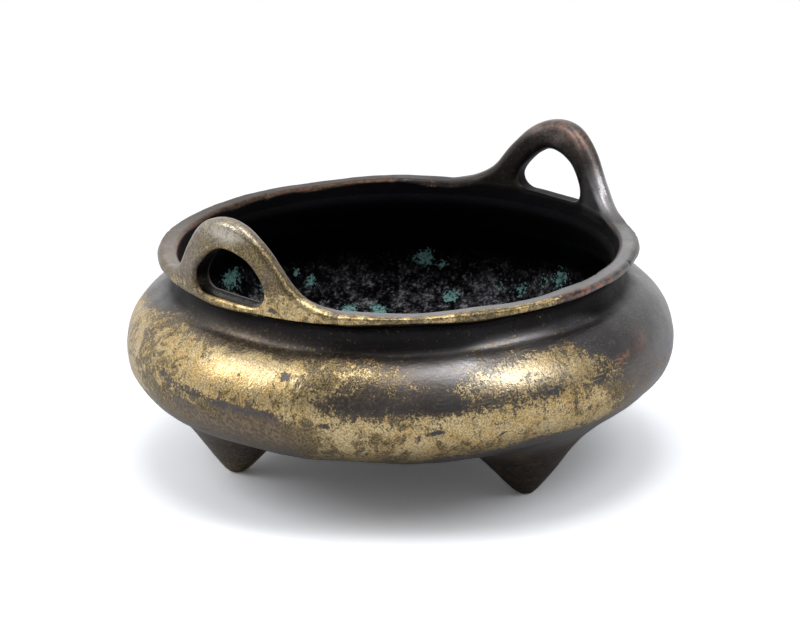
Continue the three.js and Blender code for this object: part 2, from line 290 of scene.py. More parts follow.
BROWN_SPOTS = [
    ((-36, 28.5), (26, 5), 1.50),
    ((-45, 51), (26, 3), 0.60),
    ((60, 32), (16, 8), 0.50),
    ((-6, 44), (26, 6), 0.40),
    ((-40, 42.5), (16, 4), -0.30),
    ((-66, 38), (18, 8), 0.25),
]
# Painted sheen: pale spots where the lamps' highlights and sheen lie on the belly
PAINTED_SHEEN_SPOTS = [
    ((28, 43), (20, 3.0), 0.36),
    ((-36, 47.5), (16, 3.0), 0.15),
    ((19, 47.6), (15, 4.6), 0.60),
    ((33, 50.5), (10, 1.6), 0.45),
]
DARK_STREAKS = [
    # points, half width, strength
    ([(-58.8, 37.9), (-52, 36.3), (-44.6, 36), (-37.2, 35.3), (-27.3, 35)], 1.3, 0.85),
    ([(-40, 34.6), (-26, 34.6)], 2.0, 0.30),
    ([(-56.7, 34.8), (-52.9, 32.4), (-47.6, 30.7)], 0.9, 0.65),
    ([(-14, 39.5), (0, 39.3), (9, 39.8)], 3.1, 0.60),
    ([(8, 39.6), (16, 39.0), (25, 39.3), (33, 39.5)], 2.4, 0.62),
    ([(33, 38.8), (46, 38.6)], 1.5, 0.45),
]
DARK_SPOTS = [
    # angle and height, half sizes, strength, turn if any
    ((-25.7, 44.7), (1.6, 1.1), 1.7),
    ((-22.5, 43.6), (1.1, 0.7), 0.9, -15),
    ((-18.8, 42.8), (1.2, 0.7), 0.7),
    ((-6.2, 43.5), (0.8, 0.75), 1.6),
    ((-3.5, 47.7), (0.8, 0.5), 1.0),
    ((-16, 33.9), (1.6, 0.7), 1.2, -8),
    ((3.1, 30.6), (0.5, 0.9), 1.5),
    ((6.9, 32.1), (2.9, 0.7), 1.4, 8),
    ((20.7, 29.5), (1.5, 0.45), 1.5, 45),
    ((-42.3, 41), (1.3, 1.1), 0.5),
    ((-59, 38.3), (0.9, 0.8), 1.4),
    ((-72.3, 43), (0.8, 0.9), 1.1),
    ((-53, 44.3), (0.9, 0.9), 0.8),
    ((-64, 41), (0.6, 0.5), 1.2),
    ((-54, 46), (0.7, 0.5), 1.0),
    ((-47.5, 45.4), (1.4, 0.9), 0.6),
    ((-17, 39.5), (2.4, 1.0), 0.5),
    ((28.5, 44.1), (0.9, 0.6), 0.9),
    ((-36.5, 38.4), (1.8, 0.8), 0.6, -10),
    ((41, 35.2), (2.5, 1.0), 0.6, 20),
    ((36, 32.5), (2.0, 0.8), 0.4, 30),
]


def belly_masks(points):
    """Wear (gold, copper, brown, scratches) and grime_and_painted_light (verdigris, dust,
    soot_and_painted_shade, painted_sheen) of the outside.
    """
    a = view_angle(points)
    z = points[:, 2]
    top, low = np.interp(a, *GOLD_TOP), np.interp(a, *GOLD_LOW)
    gold = 0.94 * smooth(top - z, -2.6, 2.6) * smooth(z - low, -2.2, 1.8)
    gold *= smooth(a, -125, -85) * (1 - 0.85 * smooth(a, 45, 60))
    bare_left = smooth(33 - z, -2.5, 2.5) * smooth(-a, 17, 27) * smooth(a, -58, -46)
    gold *= 1 - 0.85 * bare_left
    gold += blobs(a, z, GOLD_SPOTS)
    gold -= 0.45 * smooth(a, 41, 48) * smooth(z, 34, 37) * (a < 100)
    gold += 0.12 * between(z, (45, 47), (50, 53)) * between(a, (-82, -60), (50, 62))
    for path, width, strength in DARK_STREAKS:
        gold -= strength * streak(a, z, path, width)
    gold -= blobs(a, z, DARK_SPOTS)
    rear = smooth(np.abs(a), 105, 140)
    gold += rear * blobs(np.abs(a), z, REAR_GOLD_SPOTS)

    copper = 0.9 * streak(a, z, [(51.5, 40.9), (56.5, 41.9)], 0.8) + 0.4 * blob(a, z, (63, 43), (5, 2.0), 15)
    copper += 0.25 * rear * blob(np.abs(a), z, (140, 44), (14, 4))
    brown = blobs(a, z, BROWN_SPOTS) + 0.4 * smooth(-z, -24, -18) + 0.30 * smooth(gold, 0.1, 0.5)
    scratch = 0.06 + 0.9 * streak(a, z, [(33, 39.2), (45, 39.9), (54, 40.3)], 1.3)
    scratch += 0.30 * streak(a, z, [(14, 39.2), (30, 40)], 2.0) + 0.35 * blob(a, z, (30, 48.5), (14, 2.5))
    wear = np.stack([gold, copper, np.clip(brown, 0, 1), scratch], 1)

    # Painted shade, partly sooty dirt, darkens the neck under the rim; at the front right it starts higher
    # up, so that the shoulder still shines.
    hazy = between(a, (12, 26), (46, 60))
    soot_and_painted_shade = smooth(z, 48.8 + 2.2 * hazy, 51.2 + 2.6 * hazy) * (0.80 + 0.15 * smooth(np.abs(a), 30, 60))
    soot_and_painted_shade *= 1 - 0.75 * blob(a, z, (-44, 50.5), (24, 2.6))
    grime_and_painted_light = np.stack([0 * z, 0 * z, soot_and_painted_shade, blobs(a, z, PAINTED_SHEEN_SPOTS)], 1)
    return wear, grime_and_painted_light


def rim_masks(points):
    """Gold on the rim's outer band at the front, copper at its right, a painted grey sheen on its top,
    painted shade under its band and on its inside, and a darker far half.
    """
    a = view_angle(points)
    radius = np.hypot(points[:, 0], points[:, 1])
    z = points[:, 2]
    outer = smooth(radius, 63.9, 65.3) * smooth(z, 57.8, 58.6)
    inner = 1 - smooth(radius, 60.9, 61.8)
    front = between(a, (-82, -30), (34, 44))
    gold = 0.02 + 0.92 * outer * front + 0.34 * outer * between(-a, (40, 70), (95, 130))
    gold += 0.10 * outer * smooth(np.abs(a), 100, 130)
    copper = 0.95 * outer * blob(a, a * 0, (53, 0), (14, 4)) + 0.20 * inner * smooth(np.abs(a), 60, 110)
    copper += 0.16 * smooth(np.abs(a), 100, 135) * smooth(radius, 61.5, 63)
    copper += 0.7 * (1 - smooth(np.abs(radius - 61.0), 0.2, 0.6)) * smooth(-a, 50, 75)
    brown = 0.9 * smooth(-a, 30, 60) + 0.5 * outer * front
    wear = np.stack([gold, np.clip(copper, 0, 1), np.clip(brown, 0, 1), 0 * a + 0.05], 1)
    # Painted shade under the rim's band and on its inside, and a darker far half
    soot_and_painted_shade = np.maximum(1 - smooth(z, 57.9, 58.7), 1 - smooth(radius, 60.45, 60.85))
    soot_and_painted_shade = np.maximum(soot_and_painted_shade, 0.62 * smooth(np.abs(a), 80, 130))
    # Painted sheen on the rim's top
    painted_sheen = (0.38 - 0.18 * smooth(-a, 60, 90)) * (1 - outer) * (1 - inner) * smooth(z, 60, 60.8)
    grime_and_painted_light = np.stack([0 * a, 0 * a, soot_and_painted_shade, painted_sheen], 1)
    return wear, grime_and_painted_light


VERDIGRIS_SPOTS = [
    # place in millimetres, size, strength
    ((4.4, 71.8, 34.3), 3.4, 1.0),
    ((56, 45.1, 33.8), 3.0, 1.0),
    ((58.7, 41, 31.9), 1.7, 0.9),
    ((25.3, 67.1, 32.3), 1.4, 0.8),
    ((28.9, 64.3, 29.3), 1.9, 0.9),
    ((14.5, 69.5, 29.5), 2.0, 0.7),
    ((55.1, 34.1, 24.3), 2.6, 1.0),
    ((66.6, 17.5, 27.2), 3.2, 0.6),
    ((69.4, 11.5, 30.5), 2.4, 0.65),
    ((71.2, 6.3, 32.1), 3.0, 0.8),
    ((65.0, 24.0, 28.5), 2.4, 0.55),
    ((31.5, 51.6, 22.4), 3.0, 0.8),
    ((37.5, 46.0, 22.0), 3.4, 0.85),
    ((10, -40, 19.3), 3.5, 0.6),
    ((-30, -22, 19.3), 4.5, 0.5),
    ((20, 5, 19.3), 3.0, 0.6),
    ((-8, 26, 19.3), 4.0, 0.5),
    ((-55, 10, 24), 3.0, 0.6),
    ((-20, -60, 27), 3.2, 0.6),
]
NO_GOLD = -0.4  # so low that no noise lifts it to gold


def interior_masks(points):
    """Verdigris spots and pale dust on the floor of the bowl, over an inside that is black all over."""
    verdigris = zero = np.zeros(len(points))
    for at, size, strength in VERDIGRIS_SPOTS:
        away = np.linalg.norm(points - np.array(at), axis=1)
        verdigris = np.maximum(verdigris, strength * np.exp(-((away / size) ** 2)))
    dust = 1 - smooth(points[:, 2], 23, 38)
    wear = np.stack([zero + NO_GOLD, zero, zero, zero], 1)
    grime_and_painted_light = np.stack([verdigris, dust, zero + 1.0, zero], 1)
    return wear, grime_and_painted_light


def corner_normals(normals, faces, start, level):
    """One normal for each corner: the given ones, and level ones from the first face of the joint on."""
    return [normals[k] if i < start else level for i, face in enumerate(faces) for k in face]


# Bowl and rim: one turned grid, cut at the level joint, so that the surface runs on across it
BOWL_SIDES = 320
RIM_SIDES = 960
BOWL_SPACING = 1.0
INSIDE_SPACING = 1.5
RIM_SPACING = 0.42
POLE_SPACING = 2.0


def grid_faces(rows, sides, offset=0):
    first = offset + np.arange(rows - 1)[:, None] * sides
    j = np.arange(sides)
    a, b = first + j, first + (j + 1) % sides
    return np.stack([a, b, b + sides, a + sides], -1).reshape(-1, 4)


def shaped(profile, sides):
    """The profile turned round the axis with its unevenness, its faces and its normals."""
    angle = np.arange(sides) * (2 * np.pi / sides) + VIEW
    radius, height = profile[:, :1], profile[:, 1:]
    points = np.stack([radius * np.cos(angle), radius * np.sin(angle), height + 0 * angle], -1).reshape(-1, 3)
    faces = grid_faces(len(profile), sides)
    points = tilted(points + vertex_normals(points, faces) * unevenness(points)[:, None])
    return points, faces, vertex_normals(points, faces)


def keep_rows(points, faces, normals, sides, kept):
    """The part of a turned grid whose rows are kept, numbered anew."""
    row = faces[:, 0] // sides
    used = np.repeat(kept, sides)
    new = np.cumsum(used) - 1
    return points[used], new[faces[kept[row] & kept[row + 1]]], normals[used]


def close_poles(points, faces, normals, sides):
    """Closes the first and the last ring round the axis, with a point each."""
    faces = faces.tolist()
    for first, up in ((0, -1.0), (len(points) - sides, 1.0)):
        centre = len(points)
        points = np.append(points, [[0.0, 0.0, points[first : first + sides, 2].mean()]], axis=0)
        normals = np.append(normals, [[0.0, 0.0, up]], axis=0)
        for j in range(sides):
            here, there = first + j, first + (j + 1) % sides
            faces.append([centre, there, here] if up < 0 else [centre, here, there])
    return points, faces, normals


outer = outer_profile()
inner = inner_profile(outer)
bowl_outer = resample(outer, BOWL_SPACING)
bowl_inner = resample(inner, INSIDE_SPACING)[::-1]
rim_path = resample(rim_section(), RIM_SPACING)
flat_radii = np.arange(POLE_SPACING, BASE_RADIUS, POLE_SPACING)
flat_under = np.stack([flat_radii, np.full(len(flat_radii), BASE_HEIGHT)], 1)
flat_floor = np.stack([flat_radii[::-1], np.full(len(flat_radii), FLOOR_TOP)], 1)


def make_bowl():
    sides = BOWL_SIDES
    lower = np.concatenate([flat_under, bowl_outer])
    upper = np.concatenate([bowl_inner, flat_floor])
    # The rim's rows are turned too and then left out, so that the normals run on across the joint.
    whole = np.concatenate([lower, rim_path[1:-1], upper])
    kept = np.ones(len(whole), bool)
    kept[len(lower) : -len(upper)] = False
    points, faces, normals = close_poles(*keep_rows(*shaped(whole, sides), sides, kept), sides)
    start = len(faces)
    low, high = (len(lower) - 1) * sides, len(lower) * sides
    for j in range(sides):
        k = (j + 1) % sides
        faces.append([low + j, low + k, high + k, high + j])
    inside = np.zeros(len(points), bool)
    inside[high:] = True
    inside[-2] = False  # the pole of the underside
    masks = zip(belly_masks(points), interior_masks(points))
    wear, grime_and_painted_light = [np.where(inside[:, None], within, without) for without, within in masks]
    normals = corner_normals(normals, faces, start, (0.0, 0.0, 1.0))
    bowl = make_object("bowl_shell", points, faces, wear, grime_and_painted_light, normals)
    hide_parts("bowl")
    return bowl


NICKS = [
    # angle in degrees, radius, half length along the rim, depth
    (82.4, 61.0, 0.8, 0.45),
    (46.4, 60.9, 0.7, 0.35),
    (-95.7, 65.6, 0.9, 0.45),
    (-62.5, 65.8, 0.7, 0.4),
    (-128, 65.8, 0.8, 0.25),
    (-118, 65.9, 0.5, 0.2),
    (120, 65.7, 0.9, 0.3),
    (68, 66.0, 0.6, 0.25),
    (-40, 65.9, 0.8, 0.3),
    (-150, 61.0, 0.7, 0.2),
    (-75, 61.1, 0.6, 0.25),
]
EAR_FADE = (33, 37.4)  # along the rim: where the ear's root runs out into the ring
RING_SHRINK = 0.45
SILL_GAP = 0.7
NICK_HEIGHT = 1.4  # half height of a nick


def make_rim():
    sides = RIM_SIDES
    # Some rows of the bowl on both sides are turned too and then left out, for the normals.
    spare = 3
    whole = np.concatenate([bowl_outer[-spare - 1 :], rim_path[1:-1], bowl_inner[: spare + 1]])
    points, faces, normals = shaped(whole, sides)
    radius = np.hypot(points[:, 0], points[:, 1])
    # Distance along the rim from the middle of the nearer ear
    along = np.abs(np.arctan2(points[:, 1], np.abs(points[:, 0]))) * EAR_MIDDLE
    # Under the ears the ring shrinks into them, and under their openings it drops below the sill.
    hidden = RING_SHRINK * (1 - smooth(along, *EAR_FADE)) * smooth(points[:, 2], 58.4, 59.6)
    points -= normals * hidden[:, None]
    sill = EAR_SEAT - SILL_GAP - np.clip((radius - RIM_INSIDE) / (RIM_RADIUS - RIM_INSIDE), 0, 1)
    drop = 1 - smooth(along, 12, 15)
    points[:, 2] = np.where(points[:, 2] > sill, points[:, 2] + (sill - points[:, 2]) * drop, points[:, 2])
    for angle, at_radius, half, depth in NICKS:
        middle = np.array([math.cos(math.radians(angle)), math.sin(math.radians(angle))]) * at_radius
        away = np.hypot(*(points[:, :2] - middle).T) / half
        height = (points[:, 2] - RIM_TOP) / NICK_HEIGHT
        points -= normals * (depth * np.exp(-(away**2) - height**2))[:, None]
    normals = vertex_normals(points, faces)
    kept = np.ones(len(whole), bool)
    kept[:spare] = kept[-spare:] = False
    points, faces, normals = keep_rows(points, faces, normals, sides, kept)
    faces = faces.tolist()
    start, last = len(faces), len(points) - sides
    for j in range(sides):
        k = (j + 1) % sides
        faces.append([j, last + j, last + k, k])
    normals = corner_normals(normals, faces, start, (0.0, 0.0, -1.0))
    rim = make_object("rim_ring", points, faces, *rim_masks(points), normals)
    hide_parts("mouth_rim")
    return rim


# Ears: a distance field of the loop and of the rim under it, meshed on a fine grid and bent round the rim
def ear_outline(lean):
    """The loop's outline along the rim and in height. The crown leans along the rim, the waist less."""
    along, down = math.cos(EAR_SLOPE), math.sin(EAR_SLOPE)
    sweep = (EAR_WAIST - RIM_TOP) * EAR_SWEEP
    arch = (EAR_TOP - EAR_WAIST) * EAR_ARCH
    halves = []
    for side in (1, -1):
        waist = lean * EAR_WAIST_LEAN + side * EAR_WAIST_HALF
        tail, reach = side * (EAR_ROOT_HALF + EAR_TAIL), side * EAR_ROOT_HALF * EAR_ROOT_REACH
        below = (waist + side * sweep * along, EAR_WAIST - sweep * down)
        above = (waist - side * arch * along, EAR_WAIST + arch * down)
        root = bezier([(tail, RIM_TOP), (reach, RIM_TOP), below, (waist, EAR_WAIST)], 40)
        crown = [(waist, EAR_WAIST), above, (lean + side * EAR_CROWN_REACH, EAR_TOP), (lean, EAR_TOP)]
        halves.append(np.concatenate([[(tail, EAR_FOOT)], root, bezier(crown, 40)[1:]]))
    return np.concatenate([halves[0], halves[1][-2::-1]])


def opening_outline():
    wide = OPENING_HALF
    arch = (OPENING_WIDEST + OPENING_TOP) / 2
    upper = bezier([(0, OPENING_TOP), (wide / 2, OPENING_TOP), (wide, arch), (wide, OPENING_WIDEST)], 30)
    lower = bezier([(wide, OPENING_WIDEST), (wide, SILL_TOP + 0.5), (SILL_HALF, SILL_TOP)], 20)
    half = np.concatenate([upper, lower[1:]])
    return np.concatenate([half[:0:-1] * [-1, 1], half])


def polygon_distance(points, outline):
    """Signed distance to a closed outline, negative inside."""
    nearest = np.full(len(points), 1e9)
    crossings = np.zeros(len(points), int)
    x, y = points[:, 0], points[:, 1]
    for (ax, ay), (bx, by) in zip(outline, np.roll(outline, -1, axis=0)):
        ex, ey = bx - ax, by - ay
        share = np.clip(((x - ax) * ex + (y - ay) * ey) / (ex * ex + ey * ey), 0, 1)
        nearest = np.minimum(nearest, (x - ax - share * ex) ** 2 + (y - ay - share * ey) ** 2)
        if ay != by:
            cross = (ay > y) != (by > y)
            crossings += cross & (x < ax + (y - ay) / (by - ay) * ex)
    distance = np.sqrt(nearest)
    return np.where(crossings % 2 == 1, -distance, distance)


class Table:
    """A distance to an outline, looked up on a fine grid."""

    def __init__(self, outline, low, high, pitch):
        self.low, self.pitch = np.array(low, float), pitch
        self.count = [int((h - l) / pitch) + 2 for l, h in zip(low, high)]
        axes = [l + np.arange(n) * pitch for l, n in zip(low, self.count)]
        grid = np.stack(np.meshgrid(*axes, indexing="ij"), -1).reshape(-1, 2)
        self.values = polygon_distance(grid, outline).reshape(self.count)

    def at(self, x, y):
        u = np.clip((x - self.low[0]) / self.pitch, 0, self.count[0] - 1.001)
        v = np.clip((y - self.low[1]) / self.pitch, 0, self.count[1] - 1.001)
        i, j = u.astype(int), v.astype(int)
        fu, fv = u - i, v - j
        t = self.values
        low = t[i, j] * (1 - fu) + t[i + 1, j] * fu
        high = t[i, j + 1] * (1 - fu) + t[i + 1, j + 1] * fu
        return low * (1 - fv) + high * fv


def smooth_low(a, b, k):
    share = np.maximum(k - np.abs(a - b), 0) / k
    return np.minimum(a, b) - share * share * k / 4


def smooth_high(a, b, k):
    return -smooth_low(-a, -b, k)


EAR_REACH = 39.6
EAR_EDGE = 2.2  # rounding of the loop's outline
EAR_BOTTOM = 57.6
EAR_PITCH = 0.35  # size of the mesh's faces
EAR_BOX = ((-40.25, -4.9, 57.1), (40.25, 3.3, 83.6))
TABLE_BOX = ((-41, 55), (41, 85))
TABLE_PITCH = 0.2
rim_table = Table(rim_section() - [EAR_MIDDLE, 0], (-6, 55), (5, 64), 0.1)
opening_table = Table(opening_outline(), *TABLE_BOX, TABLE_PITCH)


def opening_distance(s, t, z, narrow):
    """Distance to the opening's edge, negative in it. The narrow side, -1 or 1 along s, is cut in."""
    outward = np.clip((t + EAR_HALF) / (2 * EAR_HALF), 0, 1)
    fall = SILL_FALL * outward * np.clip((OPENING_WIDEST - z) / 4.5, 0, 1)
    inward = 1.5 * smooth(z, 64, 71) * smooth(narrow * s, -2, 6)
    return opening_table.at(s + narrow * inward, z + fall)


def ear_field(lean, narrow):
    """The ear's distance field over its places along the rim (s), across it (t) and in height (z)."""
    outline_table = Table(ear_outline(lean), *TABLE_BOX, TABLE_PITCH)

    def field(p):
        s, t, z = p[:, 0], p[:, 1], p[:, 2]
        flat = outline_table.at(s, z) + 0.45 * smooth(np.abs(s), 30, 38)
        side = np.abs(t) - EAR_HALF
        u, v = flat + EAR_EDGE, side + EAR_EDGE
        plate = np.hypot(np.maximum(u, 0), np.maximum(v, 0)) + np.minimum(np.maximum(u, v), 0) - EAR_EDGE
        plate = np.maximum(plate, 59.5 - z)
        sag = 0.35 * (1 - smooth(np.abs(s), 20, 30)) * smooth(z, 57.7, 58.7)
        rim = rim_table.at(t, z + sag)
        blend = 0.05 + 1.5 * (1 - smooth(np.abs(s), 28, 37))
        solid = smooth_low(plate, rim, blend)
        solid = np.maximum(solid, t - EAR_HALF)
        solid = smooth_high(solid, -opening_distance(s, t, z, narrow), 1.3 + 0.8 * smooth(z, 66, 73))
        # The root lies just over the ring and dips into it at its ends and its lower edge.
        edge = np.maximum(smooth(np.abs(s), 37.4, EAR_REACH - 0.2), 1 - smooth(z, 57.7, 58.3))
        solid = solid - (0.02 - 0.08 * edge)
        return np.maximum(np.maximum(solid, np.abs(s) - EAR_REACH), EAR_BOTTOM - z)

    return field


CORNERS = [(0, 0), (-1, 0), (-1, -1), (0, -1)]  # cells round an edge of the grid


def surface_net(field, low, high, pitch):
    """The zero surface of a field as quads, with each point moved onto the surface."""
    axes = [np.arange(l, h + pitch, pitch) for l, h in zip(low, high)]
    shape = [len(axis) for axis in axes]
    grid = np.stack(np.meshgrid(*axes, indexing="ij"), -1).reshape(-1, 3)
    values = field(grid).reshape(shape)
    cells = [n - 1 for n in shape]
    total = np.zeros(cells + [3])
    hits = np.zeros(cells)
    crossings = []
    for axis in range(3):
        others = [k for k in range(3) if k != axis]
        here = np.take(values, range(cells[axis]), axis)
        there = np.take(values, range(1, shape[axis]), axis)
        change = (here < 0) != (there < 0)
        here, there = here[change], there[change]
        index = np.argwhere(change)
        where = index.astype(float)
        where[:, axis] += here / (here - there)
        for corner in CORNERS:
            cell = index.copy()
            cell[:, others] += corner
            ok = np.all((cell >= 0) & (cell < cells), axis=1)
            at = tuple(cell[ok].T)
            np.add.at(total, at, where[ok])
            np.add.at(hits, at, 1)
        crossings.append((axis, others, index, here < 0))
    filled = hits > 0
    number = np.full(cells, -1)
    number[filled] = np.arange(filled.sum())
    points = np.array(low) + pitch * total[filled] / hits[filled][:, None]
    quads = []
    for axis, others, index, from_inside in crossings:
        ok = np.all(index[:, others] > 0, axis=1)
        index, from_inside = index[ok], from_inside[ok]
        ring = []
        for corner in CORNERS:
            cell = index.copy()
            cell[:, others] += corner
            ring.append(number[tuple(cell.T)])
        ring = np.stack(ring, 1)
        flip = from_inside != (axis == 1)
        ring[flip] = ring[flip][:, ::-1]
        quads.append(ring)
    quads = np.concatenate(quads)
    step = 0.02
    for _ in range(3):
        here = field(points)
        rises = [field(points + step * unit) - field(points - step * unit) for unit in np.eye(3)]
        slope = np.stack(rises, 1) / (2 * step)
        size = np.maximum((slope**2).sum(1), 0.25)
        move = -(here / size)[:, None] * slope
        length = np.linalg.norm(move, axis=1)[:, None]
        points = points + move * np.minimum(1, 0.5 * pitch / np.maximum(length, 1e-9))
    return points, quads


def bend(plate, side):
    angle = plate[:, 0] / EAR_MIDDLE
    radius = EAR_MIDDLE + plate[:, 1]
    return np.stack([side * radius * np.cos(angle), side * radius * np.sin(angle), plate[:, 2]], 1)


def ear_masks(name, plate, points):
    """The loop's own wear, painted shade and painted sheen, which run into the rim's at the ends of its root.
    """
    s, t, z = plate.T

    def spot(at, size):
        return np.exp(-(((s - at[0]) / size[0]) ** 2) - ((z - at[1]) / size[1]) ** 2)

    near = name == "left_ear"
    depth = opening_distance(s, t, z, -1 if near else 1)
    # The opening's wall is painted in shade below; on the near ear the painted shade reaches further out on
    # the left.
    reach = 1.5 * smooth(-s, 3, 9) if near else 0
    wall = 1 - smooth(depth, 0.2, 0.9 + reach)
    wall *= np.maximum(smooth(2.5 - np.abs(t), 0.2, 1.0), 0.55 * (reach > 0))
    copper = 0 * s
    if near:
        # The camera's right is the side of positive s.
        crown = smooth(z, 74.5, 80)
        left_limb = smooth(-s, 4, 12)
        gold = 1.08 - 0.72 * left_limb - 0.30 * crown
        gold -= 0.80 * spot((14.6, 70.5), (2.4, 4.5)) + 0.55 * spot((9, 76), (3.4, 2.2))
        gold -= 1.8 * spot((15.6, 60.6), (1.5, 0.9)) + 0.25 * spot((-4, 77), (4, 1.6))
        gold -= 0.30 * spot((24, 62.5), (4, 1.2))
        gold += 0.45 * (1 - smooth(depth, 0.8, 2.0)) * smooth(t, 0.8, 1.8) * (1 - left_limb) * (z < 70)
        gold += 0.25 * smooth(-z, -63.5, -61.0)
        gold = gold * smooth(t, -1.3, 0.9) + 0.04
        brown = 0.80 - 0.45 * smooth(-z, -67, -63) + 0.35 * spot((13, 71), (4, 6)) + 0.2 * left_limb
        # Painted highlights: a sheen on the crown and a pale line along the loop's inner top edge
        painted_sheen = 0.35 * crown + 0.60 * spot((0.5, 79.0), (6, 2.2)) + 0.22 * left_limb * smooth(z, 62, 66)
        painted_sheen += 1.3 * (1 - smooth(t, -2.5, -1.75)) * smooth(s, -6, 0) - 0.3 * spot((9, 76), (4, 3))
    else:
        gold = -0.25 + 0.35 * spot((-17.5, 68), (2.5, 6)) + 0.30 * spot((-3, 81.5), (2.5, 1.5))
        copper = 0.34 * smooth(z, 75, 80)
        brown = 0.25 + 0 * s
        # Painted highlight along the far ear's right limb, seen from the camera, and painted sheen on its
        # crown's ridge
        painted_sheen = 0.9 * smooth(-s, 13.5, 16.5) * smooth(-z, -74, -68) + 0.22 * spot((2, 79), (8, 1.6))
    # Painted shade in the opening and on both inner faces near the rim; the far ear's inner face is made
    # darker
    inner_face = (0.0 if near else 0.55) * (1 - smooth(t, -2.2, -1.0)) * (1 - smooth(z, 74, 79))
    inner_foot = 0.97 * (1 - smooth(z, 60.5, 64.0)) * (1 - smooth(t, -2.4, -1.6))
    soot_and_painted_shade = np.maximum(np.maximum(0.96 * wall, inner_face), inner_foot)
    wear = np.stack([gold, copper, brown, 0 * s + 0.05], 1)
    grime_and_painted_light = np.stack([0 * s, 0 * s, soot_and_painted_shade, painted_sheen], 1)
    share = np.maximum(smooth(np.abs(s), 22, 34), 1 - smooth(z, 58.2, 59.2))[:, None]
    return [own * (1 - share) + rims * share for own, rims in zip((wear, grime_and_painted_light), rim_masks(points))]


def make_ear(name, side, lean):
    plate, faces = surface_net(ear_field(lean, side), *EAR_BOX, EAR_PITCH)
    points = bend(plate, side)
    normals = vertex_normals(points, faces)
    points = tilted(points + normals * unevenness(points)[:, None])
    ear = make_object(name + "_loop", points, faces.tolist(), *ear_masks(name, plate, points))
    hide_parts(name)
    return ear


# Feet: blunt cones that blend into the underside
def underside_height(radius):
    return np.interp(radius, *underside_curve(400).T, left=BASE_HEIGHT)


FLARE_END = 0.004  # thickness at which the flare ends
FLARE_STEP = 0.06  # by which its end is looked for
FLARE_LIMIT = 74.6  # radius from the bowl's axis that it doesn't pass
FOOT_SINK = 0.12  # depth of the foot's upper face in the bowl, under its flare
FOOT_SINK_MORE = 1.2  # more of it further in


def make_foot(name):
    sides, rings = 160, 64
    turned = math.radians(FOOT_AZIMUTHS[name] + 90)
    angle = np.arange(sides) * (2 * np.pi / sides)
    cos, sin = np.cos(angle), np.sin(angle)

    def seat(x, y):
        return underside_height(np.hypot(x, y - FOOT_CIRCLE))

    def sole(x, y):
        r = np.hypot(x, y)
        outward = (1 - y / np.maximum(r, 1e-6)) / 2
        slope = FOOT_SLOPES[0] + (FOOT_SLOPES[1] - FOOT_SLOPES[0]) * outward
        cone = np.hypot(slope * np.maximum(r - FOOT_PAD, 0), FOOT_ROUNDING) - FOOT_ROUNDING
        return smooth_low(cone, seat(x, y), FOOT_FILLET)

    # Reach of the flare in each direction: where its thickness has gone
    reach = np.full(sides, 6.0)
    growing = np.ones(sides, bool)
    while growing.any():
        x, y = reach * cos, reach * sin
        thick = seat(x, y) - sole(x, y) > FLARE_END
        growing &= thick & (np.hypot(x, y - FOOT_CIRCLE) < FLARE_LIMIT)
        reach[growing] += FLARE_STEP
    share = np.linspace(0, 1, rings + 1)[1:]
    r = reach[None] * share[:, None]
    x, y = r * cos, r * sin
    low = sole(x, y) + 0.09 * smooth(share, 0.8, 1)[:, None] - 0.01
    top = seat(x, y) + FOOT_SINK_MORE * np.minimum(1, (1 - share[:, None]) * 8) + FOOT_SINK
    under, over = [np.stack([x, y, z], -1).reshape(-1, 3) for z in (low, top)]
    poles = [[0, 0, 0], [0, 0, BASE_HEIGHT + FOOT_SINK_MORE + FOOT_SINK]]
    points = np.concatenate([under, over, poles])
    count = rings * sides
    faces = grid_faces(rings, sides).tolist() + grid_faces(rings, sides, count)[:, ::-1].tolist()
    last = (rings - 1) * sides
    for j in range(sides):
        k = (j + 1) % sides
        faces.append([last + j, count + last + j, count + last + k, last + k][::-1])
        faces.append([2 * count, k, j])
        faces.append([2 * count + 1, count + j, count + k])
    points[:, 1] -= FOOT_CIRCLE
    c, s = math.cos(turned), math.sin(turned)
    points[:, :2] = points[:, :2] @ np.array([[c, s], [-s, c]])
    # The unevenness acts along the underside's normal near the bowl and fades out towards the tip.
    radius = np.hypot(points[:, 0], points[:, 1])
    h = 0.05
    slope = (underside_height(radius + h) - underside_height(radius - h)) / (2 * h)
    level = points[:, :2] * (slope / radius)[:, None]
    normal = np.concatenate([level, -np.ones((len(points), 1))], 1) / np.hypot(slope, 1)[:, None]
    points = points + normal * (unevenness(points) * smooth(points[:, 2], 0, 8))[:, None]
    wear, grime_and_painted_light = belly_masks(points)
    # Towards the rim of its flare the foot takes the wear of the bowl's underside.
    flare = np.append(np.tile(np.repeat(share, sides), 2), [0, 0])
    local = np.maximum(smooth(points[:, 2], 15, 21), smooth(flare, 0.55, 0.97))
    tip = 1 - smooth(points[:, 2], 2, 8)
    left = name == "left_foot"  # its tip is bare and it has less painted shade; the others are coppery and painted darker
    own = np.zeros_like(wear) + (0.06, 0.0 if left else 0.3, 0.5, 0.2)
    own[:, 0] += 0.50 * tip * left
    wear = wear * local[:, None] + own * (1 - local[:, None])
    # Painted shade on the lower part of each foot, least on the left foot
    grime_and_painted_light[:, 2] = (0.10 if left else 0.60) * (1 - local)
    foot = make_object(name + "_cone", points, faces, wear, grime_and_painted_light)
    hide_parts(name)
    return foot


